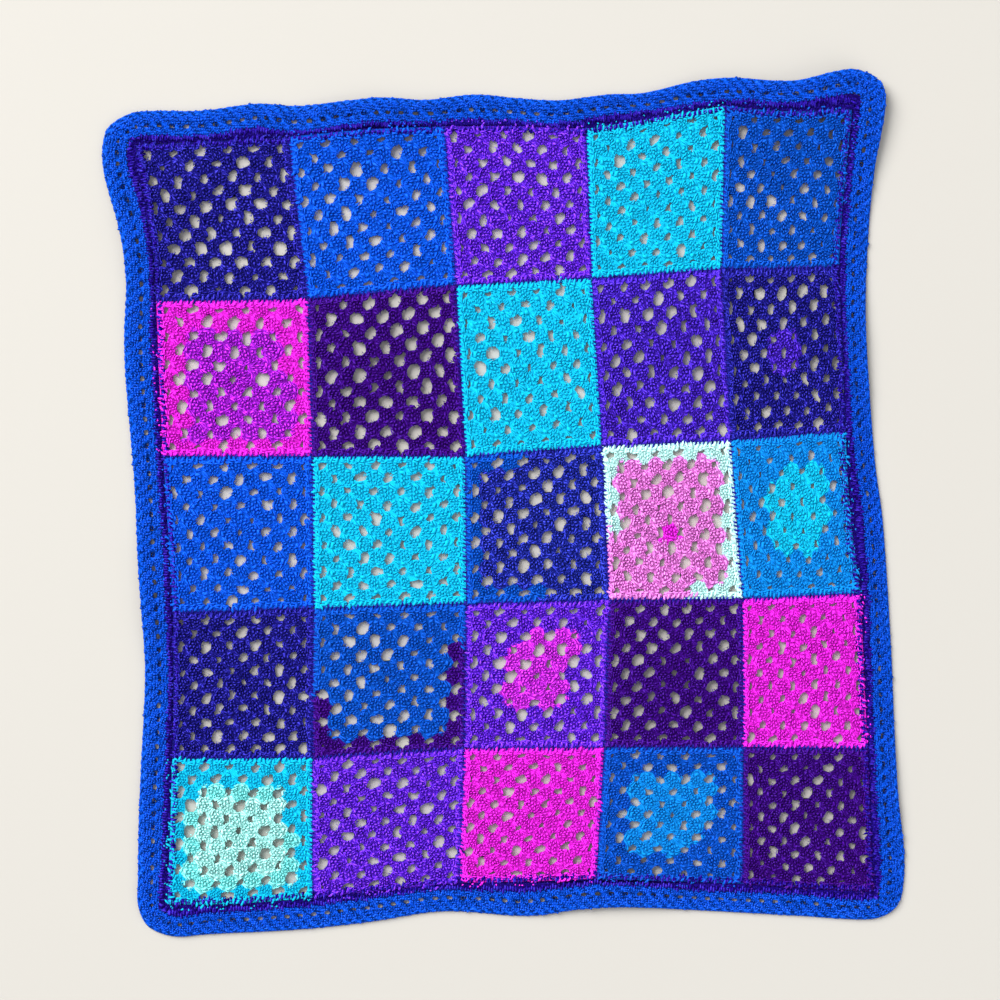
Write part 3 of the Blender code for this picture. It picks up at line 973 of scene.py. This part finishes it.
def addFuzz(found, row, column, strand):
    dice = squareDice("fuzz", row, column)
    each = fuzz["each"]
    for gap in gapsOf(row, column):
        middle, cell = gap["middle"] + gap["move"], gap["middle"] / (square["pitch"] * mm)
        for angle in 2 * math.pi * (np.arange(each) + dice.uniform(-0.5, 0.5, each)) / each:
            out = np.array((math.cos(angle), math.sin(angle)))
            aside = np.array((-out[1], out[0]))
            rim = rimOf(gap, angle)
            long = dice.uniform(*fuzz["reach"]) * min(1, rim / (fuzz["most"] * mm))
            bend = dice.normal(0, fuzz["bend"])
            flat = middle + out * (rim - strand[:, 1:2] * long) + aside * strand[:, 0:1] * bend
            yarn = yarnAt(row, column, *clusterAt(*cellNear(*(cell + fuzz["yarnFrom"] * out))))
            tone = dice.normal(0, fuzz["toneStray"])
            found.setdefault((yarn, "fuzz"), []).append((np.hstack((flat, strand[:, 2:])), tone))


ground = {  # the cloth behind a square's clusters, darkened by its tone as painted shade between them and round the gaps
    "rim": 0.085,  # share of a pitch between a gap's edge and the cluster beside it
    "cut": 0.26,  # share of a pitch cut off each corner of a gap
    "thick": 2.6,  # mm
    "middle": 2.1,  # mm up to its middle
    "inset": 0.3,  # mm in from the seam
    "onEdge": 0.999,  # share of the lattice past which a point is on its outer edge
    # painted shade: the cloth is darkened well below its yarn's own colour
    "tone": -1.4,
    "share": 0.72,  # of a square that isn't gap
    "weld": 0.01,  # mm within which the points of a closed cloth merge
}


def openGrid(name, columns, rows, isGap, rim, cut):
    # a flat grid of cells one unit wide, with an eight-sided gap in each cell that isGap picks
    bpy.ops.object.select_all(action="DESELECT")
    bpy.ops.mesh.primitive_grid_add(x_subdivisions=columns, y_subdivisions=rows, size=1)
    grid = bpy.context.object
    grid.name = name
    bpy.ops.object.mode_set(mode="EDIT")
    bpy.ops.mesh.select_all(action="SELECT")
    bpy.ops.transform.resize(value=(columns, rows, 1))
    bpy.ops.mesh.select_all(action="DESELECT")
    bpy.ops.mesh.select_mode(type="FACE")
    bpy.ops.object.mode_set(mode="OBJECT")
    for face in grid.data.polygons:
        face.select = isGap(face.center.x, face.center.y)
    bpy.ops.object.mode_set(mode="EDIT")
    bpy.ops.mesh.inset(thickness=rim, use_individual=True)
    bpy.ops.mesh.bevel(offset=cut, affect="VERTICES")
    bpy.ops.mesh.select_all(action="DESELECT")
    bpy.ops.object.mode_set(mode="OBJECT")
    for face in grid.data.polygons:
        face.select = len(face.vertices) == 8 and isGap(face.center.x, face.center.y)
    bpy.ops.object.mode_set(mode="EDIT")
    bpy.ops.mesh.delete(type="FACE")
    bpy.ops.object.mode_set(mode="OBJECT")
    return grid


def thicken(piece, thick):
    solid = piece.modifiers.new("thickness", "SOLIDIFY")
    solid.thickness = thick * mm
    solid.offset = 0
    bpy.context.view_layer.objects.active = piece
    bpy.ops.object.modifier_apply(modifier="thickness")


def isLatticeGap(x, y):
    return (round(x) + round(y)) % 2 == 0


def makeSquareGround():
    # the lattice of one square, open at each of its gaps; its outer edge reaches on to the seam
    cells = 2 * square["rounds"] + 1
    grid = openGrid("squareGround", cells, cells, isLatticeGap, ground["rim"], ground["cut"])
    points = pointsOf(grid) * square["pitch"] * mm
    lattice, half = cells * square["pitch"] * mm / 2, square["side"] * mm / 2 - ground["inset"] * mm
    onEdge = np.abs(points[:, :2]) > lattice * ground["onEdge"]
    points[:, :2] = np.where(onEdge, np.sign(points[:, :2]) * half, points[:, :2])
    grid.data.vertices.foreach_set("co", points.ravel())
    thicken(grid, ground["thick"])
    grid.hide_render = True
    return grid


def cellYarns(row, column, cells):
    # which yarn each face of a square's ground is, and the yarns in order, the square's own first
    own = squareYarns[row][column]
    found = [yarnAt(row, column, *clusterAt(i, j)) for i, j in cells]
    order = [own] + sorted(set(found) - {own})
    return [order.index(yarn) for yarn in found], order


def layShadedCloth(name, source, positions, yarn):
    # a cloth of its own from the source, with its points at the positions, darkened by the ground's tone as
    # painted shade
    piece = source.copy()
    piece.data = source.data.copy()
    piece.name = name
    piece.hide_render = False
    bpy.context.scene.collection.objects.link(piece)
    piece.data.vertices.foreach_set("co", positions.astype(np.float32).ravel())
    setTone(piece.data, ground["tone"])
    piece.data.update()
    return finishPiece(piece, yarn)


# How settle moves each kind of stitch off the gaps; those that aren't here are moved point by point
pushes = {"fuzz": "none", "link": "whole", "tooth": "whole", "speck": "whole"}


def makeSquares(stitches):
    source = makeSquareGround()
    groundPoints = pointsOf(source) + np.array((0, 0, ground["middle"] * mm))
    pitch = square["pitch"] * mm
    cells = [cellNear(face.center.x / pitch, face.center.y / pitch) for face in source.data.polygons]
    points = {kind: pointsOf(stitch) for kind, stitch in stitches.items()}
    for row, column in np.ndindex(blanket["grid"], blanket["grid"]):
        name = f"square_r{row + 1}c{column + 1}"
        found = {}
        addClusters(found, row, column, points)
        addEdges(found, row, column, points)
        addFuzz(found, row, column, points["fuzz"])
        for yarn in sorted({yarn for yarn, _ in found}):
            parts = []
            for kind in sorted(kind for y, kind in found if y == yarn):
                copies, tones = (np.array(values) for values in zip(*found[yarn, kind]))
                keep = clearOfGaps(row, column, copies)
                places = settle(row, column, copies[keep], pushes.get(kind, "each"))
                parts.append(addCopies(name, stitches[kind], places, tones[keep]))
            finishPiece(joinPieces(f"{name}_{yarn}_stitches", parts), yarn)
        places = settle(row, column, groundPoints)
        cloth = layShadedCloth(name + "_shade_cloth", source, places, squareYarns[row][column])
        faceYarns, order = cellYarns(row, column, cells)
        for yarn in order[1:]:
            cloth.data.materials.append(materials[yarn])
        cloth.data.polygons.foreach_set("material_index", np.array(faceYarns, np.int32))
        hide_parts(name)
    bpy.data.objects.remove(source)


def makeSeams(whipStitch):
    # whip stitches over every seam between two squares, on a strand that runs along under them
    dice = diceFor("seams")
    source = pointsOf(whipStitch)
    count = blanket["grid"]
    lines = [(cornerGrid[r, c], cornerGrid[r, c + 1]) for r in range(1, count) for c in range(count)]
    lines += [(cornerGrid[r, c], cornerGrid[r + 1, c]) for c in range(1, count) for r in range(count)]
    places, made = [], []
    for start, end in lines:
        run = end - start
        length = np.linalg.norm(run)
        steps = round(length / (whip["each"] * mm))
        along = run / length
        across = np.array((-along[1], along[0]))
        for k in range(steps):
            middle = start + run * (k + 0.5) / steps + across * dice.normal(0, whip["across"]) * mm
            reach = 1 + dice.normal(0, whip["reachStray"])
            x, y = source[:, 0:1] + dice.normal(0, whip["along"]) * mm, source[:, 1:2] * reach
            places.append(onCloth(middle + along * x + across * y, source[:, 2]))
        flat = start + run * np.linspace(*seamStrand["ends"], seamStrand["points"])[:, None]
        low = onCloth(flat, np.full(len(flat), seamStrand["height"]) * mm) / mm
        made.append(addStrand("seamStrand", low, whip["thick"] * seamStrand["thick"], seamStrand["tone"]))
    tones = dice.normal(0, whip["toneStray"], len(places))
    made.append(addCopies("seam", whipStitch, np.array(places), tones))
    return finishPiece(joinPieces("seam_whip_stitches", made[::-1]), "navy")


def makeTrack(points, widths):
    # a closed clockwise line with its length so far, its way in and its width at each point
    ahead = np.roll(points, -1, 0) - points
    along = unit(unit(ahead) + unit(np.roll(ahead, 1, 0)))
    reached = np.concatenate(([0], np.cumsum(np.linalg.norm(ahead, axis=1))))
    return {"points": points, "inward": np.stack((along[:, 1], -along[:, 0]), 1), "widths": widths,
            "reached": reached[:-1], "length": reached[-1]}


def trackAt(track, distances, key):
    values = track[key] if track[key].ndim == 2 else track[key][:, None]
    got = [np.interp(distances, track["reached"], values[:, k], period=track["length"])
           for k in range(values.shape[1])]
    return np.stack(got, -1)


def movedTrack(track, share):
    # the track moved in by a share of its width
    return makeTrack(track["points"] + track["inward"] * track["widths"][:, None] * share, track["widths"])


def evenly(track, each, start=0.0):
    # distances along the whole of a track, about so many mm apart
    count = round(track["length"] / (each * mm))
    return (np.arange(count) + start) * track["length"] / count


border = {
    "band": 22,  # mm wide where its rows are as given
    "rows": (  # from the outer edge in, mm: where a row ends, its height, between stitches; thickness
        (5.4, 5.2, 4.3, 0.98),
        (8.6, 4.8, 4.2, 1.04),
        (11.2, 4.2, 4.2, 1.02),
        (20.0, 4.5, 4.2, 1.02),
        (22.2, 4.6, 4.1, 0.92),
    ),
    "posts": (16.2, 5.4, 1.0),  # the same for the stitches between the small gaps
    "postsWide": 0.72,  # times a stitch
    "postsApart": 3.0,  # mm between the two stitches of a pair
    "shut": (0.45, 0.9),  # share of the gaps with yarn low across them, and the same for the right side
    "shutSize": (0.95, 1.2, 0.42),  # of that yarn, against a stitch
    # painted shade: the yarn low in the small gaps is darkened well past its own colour
    "shutShade": -2.0,
    "rightSide": 0.29,  # metres from the middle to where that side starts
    "edge": (6.9, 2.0, 1.22, 1.0),  # between the links of its edge and how far in, mm; length and thickness
    "rimStrand": (1.25, 2.3, 1.6, 5.0),  # along it: how far in, thickness, height, between points, mm
    "fall": 1.6,  # mm that its outer edge lies lower, and how far in that starts
    "fallFrom": 6.5,
    "along": 0.25,  # mm that its stitches stray along the border, in or out, and up or down
    "stray": 0.6,
    "edgeStray": 0.15,
    "heightStray": 0.2,
    "toneStray": 0.35,
    "cells": (0.0, 3.4, 7.2, 11.0, 15.6, 19.0, 22.0),  # mm, the edges of its cloth's rows of cells
    "gapRow": 3,
    "cell": 5.9,  # mm along the edge
    "rim": 0.11,  # share of a cell left round a gap, and cut off its corners
    "cut": 0.18,
    "thick": 2.8,  # mm, the cloth's, and up to its middle
    "middle": 2.0,
    "inset": (1.2, 0.4),  # mm from the border's outer edge and its inner one to the cloth
    "flatWidth": 0.020,  # metres
}


def sweep(source, track, at, outward):
    # a stitch laid along the track at each distance, with y outwards scaled to the local width
    distances = at[:, None] + source[None, :, 0]
    width = trackAt(track, distances, "widths")[..., 0] / (border["band"] * mm)
    out = (source[None, :, 1] + outward) * width
    return trackAt(track, distances, "points") - trackAt(track, distances, "inward") * out[..., None]


def stitchRow(name, stitches, size, track, inside, at, dice, tone=0.0, stray=border["stray"]):
    # a row of stitches along the track, which is so many mm in from the outer edge; each is of any of the
    # kinds, and they lie lower towards the outer edge
    kinds = dice.integers(len(stitches), size=len(at))
    made = []
    for kind, stitch in enumerate(stitches):
        points = pointsOf(stitch) * np.array(size)
        own = at[kinds == kind]
        count = len(own)
        own = own + dice.normal(0, border["along"], count) * mm
        flat = sweep(points, track, own, dice.normal(0, stray, (count, 1)) * mm)
        depth = inside - points[None, :, 1] / mm
        fall = border["fall"] * np.clip(1 - depth / border["fallFrom"], 0, 1)
        height = points[None, :, 2] + (dice.normal(0, border["heightStray"], (count, 1)) - fall) * mm
        tones = dice.normal(tone, border["toneStray"], count)
        made.append(addCopies(name, stitch, onCloth(flat, height), tones))
    return made


def borderColumns(outline):
    # cells along the border, of which every other one has a small gap
    return 2 * round(outline["length"] / (2 * border["cell"] * mm))


def makeBorderStitches(outline, singles, chainLink):
    dice = diceFor("border")
    made = []
    for number, (end, tall, each, thick) in enumerate(border["rows"]):
        track = movedTrack(outline, end / border["band"])
        size = (each / single["wide"], tall / single["height"], thick)
        at = evenly(track, each, 0.5 * (number % 2))
        made += stitchRow("row", singles, size, track, end, at, dice)

    # a pair of stitches on each cell that isn't a gap, matched to the outline by its share of the way round
    end, tall, thick = border["posts"]
    track = movedTrack(outline, end / border["band"])
    columns, length = borderColumns(outline), outline["length"]
    outlineAt = (np.arange(columns // 2) * 2 + 1.5) / columns * length
    middles, gapMiddles = (np.interp(place, outline["reached"], track["reached"], period=length)
                           for place in (outlineAt, outlineAt - length / columns))
    apart = border["postsApart"] / 2 * mm
    at = np.sort(np.concatenate((middles - apart, middles + apart)))
    size = (border["postsWide"], tall / single["height"], thick)
    made += stitchRow("posts", singles, size, track, end, at, dice)

    # and yarn low across some of the gaps, darkened as painted shade
    usual, onRight = border["shut"]
    share = np.where(trackAt(track, gapMiddles, "points")[:, 0] > border["rightSide"], onRight, usual)
    at = gapMiddles[dice.random(len(share)) < share]
    made += stitchRow("shut", singles, border["shutSize"], track, end, at, dice, border["shutShade"])

    each, inside, long, thick = border["edge"]
    track = movedTrack(outline, inside / border["band"])
    made += stitchRow("edge", [chainLink], (long, 1.0, thick), track, inside, evenly(track, each), dice,
                      stray=border["edgeStray"])
    inside, thick, high, apart = border["rimStrand"]
    track = movedTrack(outline, inside / border["band"])
    at = np.arange(0, track["length"], apart * mm)
    rimPoints = onCloth(trackAt(track, at, "points"), np.full(len(at), high * mm)) / mm
    made.append(addStrand("rim", rimPoints, thick, closed=True))
    return finishPiece(joinPieces("border_stitches", made), "border")


def makeBorderCloth(outline, stitches):
    # the cloth behind the border's stitches, with its row of small gaps, darkened as painted shade
    cells, columns = border["cells"], borderColumns(outline)
    rows = len(cells) - 1

    def isGap(x, y):
        row = rows - 1 - int(y + rows / 2)
        return row == border["gapRow"] and int(x + columns / 2) % 2 == 0

    grid = openGrid("borderGround", columns, rows, isGap, border["rim"], border["cut"])
    points = pointsOf(grid)
    depth = np.interp(rows / 2 - points[:, 1], np.arange(rows + 1), cells) * mm
    points = np.stack((points[:, 0] * border["cell"] * mm, -depth, points[:, 2]), 1)
    grid.data.vertices.foreach_set("co", points.ravel())
    thicken(grid, border["thick"])
    points = pointsOf(grid)
    at = (points[:, 0] / (columns * border["cell"] * mm) + 0.5) * outline["length"]
    width = trackAt(outline, at, "widths")[:, 0] / (border["band"] * mm)
    outside, inside = border["inset"]
    inset = np.clip(-points[:, 1], outside * mm, (border["band"] - inside) * mm)
    flat = trackAt(outline, at, "points") + trackAt(outline, at, "inward") * (inset * width)[:, None]
    cloth = layShadedCloth("border_shade_cloth", grid, onCloth(flat, points[:, 2] + border["middle"] * mm), "border")
    bpy.data.objects.remove(grid)
    weld(cloth, ground["weld"])
    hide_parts("border")


joining = {
    "each": 4.6,  # mm between its stitches
    "thick": 1.12,
    "over": (2.4, 4.0),  # mm that its stitches reach out over the border and in over the squares
    "stray": 0.7,  # mm
    "heightStray": 0.15,
    "toneStray": 0.4,
    "edgePoints": 40,  # along the edge of one square, to lay them by
    "clothLift": 0.7,  # mm
    "clothThick": 0.7,  # times the solid
    # painted shade: the cloth under the joining stitches is darkened
    "clothShade": -1.0,
    "flatWidth": 0.010,  # metres
    "area": 0.0143,  # square metres
}


def squaresEdge():
    # the outer edge of all the squares, clockwise from the far left corner
    side = square["side"] * mm
    steps = np.linspace(-0.5, 0.5, joining["edgePoints"], endpoint=False)[:, None] * side
    half = np.full_like(steps, side / 2)
    order, last = range(blanket["grid"]), blanket["grid"] - 1
    runs = [inSquare(0, c, np.hstack((steps, half))) for c in order]
    runs += [inSquare(r, last, np.hstack((half, -steps))) for r in order]
    runs += [inSquare(last, c, np.hstack((-steps, -half))) for c in reversed(order)]
    runs += [inSquare(r, 0, np.hstack((-half, steps))) for r in reversed(order)]
    return np.vstack(runs)


def makeJoiningRound(outline, singles):
    inner = squaresEdge()
    track = makeTrack(inner, np.zeros(len(inner)))
    band = movedTrack(outline, 1.0)["points"]
    dice = diceFor("joining")
    at = evenly(track, joining["each"], 0.5)
    kinds = dice.integers(len(singles), size=len(at))
    feet = trackAt(track, at, "points")
    # how far it is to the nearest point of the border's inner edge
    span = np.array([np.linalg.norm(band - foot, axis=1).min() for foot in feet])
    span = span + sum(joining["over"]) * mm
    made = []
    for kind, stitch in enumerate(singles):
        source = pointsOf(stitch)
        own = kinds == kind
        count = own.sum()
        distances = at[own][:, None] + source[None, :, 0] * joining["each"] / single["wide"]
        out = source[None, :, 1] / (single["height"] * mm) * span[own][:, None]
        out += dice.normal(-joining["over"][1], joining["stray"], (count, 1)) * mm
        flat = trackAt(track, distances, "points") - trackAt(track, distances, "inward") * out[..., None]
        lift = dice.normal(0, joining["heightStray"], (count, 1)) * mm
        height = source[None, :, 2] * joining["thick"] + lift
        tones = dice.normal(0, joining["toneStray"], count)
        made.append(addCopies("joining", stitch, onCloth(flat, height), tones))
    stitches = finishPiece(joinPieces("joining_stitches", made), "join")

    # the cloth is the solid itself, made thinner and darkened as painted shade under the stitches
    cloth = frame["nodes"]["joining_round"].copy()
    cloth.data = cloth.data.copy()
    cloth.name = "joining_shade_cloth"
    bpy.context.scene.collection.objects.link(cloth)
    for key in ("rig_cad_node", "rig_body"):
        if key in cloth:
            del cloth[key]
    weld(cloth, ground["weld"])
    points = pointsOf(cloth)
    base = liftAt(points[:, :2])
    points[:, 2] = base + joining["clothLift"] * mm + (points[:, 2] - base) * joining["clothThick"]
    cloth.data.vertices.foreach_set("co", points.ravel())
    if not cloth.data.uv_layers:
        cloth.data.uv_layers.new(name="UVMap")
    setTone(cloth.data, joining["clothShade"])
    finishPiece(cloth, "join")
    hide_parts("joining_round")


addCamera()
addLights()
addFloor()
print("camera, lights and floor placed")

posts = {f"post{kind}": makePost(kind) for kind in range(post["kinds"])}
singles = [makeSingle(kind) for kind in range(single["kinds"])]
chainLink, edgeTooth, whipStitch = makeChain(), makeTooth(), makeWhip()
yarnSpeck = joinStrands("yarnSpeck", [addGrain("speckStrand", (0, 0), 0, speck["grain"], speck["tone"])])
fibreStrand = addStrand("fibreStrand", fuzz["points"], fuzz["thick"], fuzz["tone"])
looseFibre = joinStrands("looseFibre", [fibreStrand])
models = [*posts.values(), *singles, chainLink, edgeTooth, whipStitch, yarnSpeck, looseFibre]
print("stitches modelled, with faces:", [(s.name, len(s.data.polygons)) for s in models])

makeSquares({**posts, "link": chainLink, "tooth": edgeTooth, "speck": yarnSpeck, "fuzz": looseFibre})
print("squares crocheted")
makeSeams(whipStitch)
print("seams sewn")

fine = smoothLoop(blanket["outline"], blanket["spacing"] * mm)
outline = makeTrack(fine[:, :2] - shift, fine[:, 2])
makeJoiningRound(outline, singles)
print("joining round worked")
makeBorderCloth(outline, makeBorderStitches(outline, singles, chainLink))
print("border worked")

for model in models:
    bpy.data.objects.remove(model)

counts = [sum(len(p.vertices) - 2 for p in o.data.polygons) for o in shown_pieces() if o.type == "MESH"]
print("triangles in the pieces:", sum(counts), "and most in one:", max(counts))
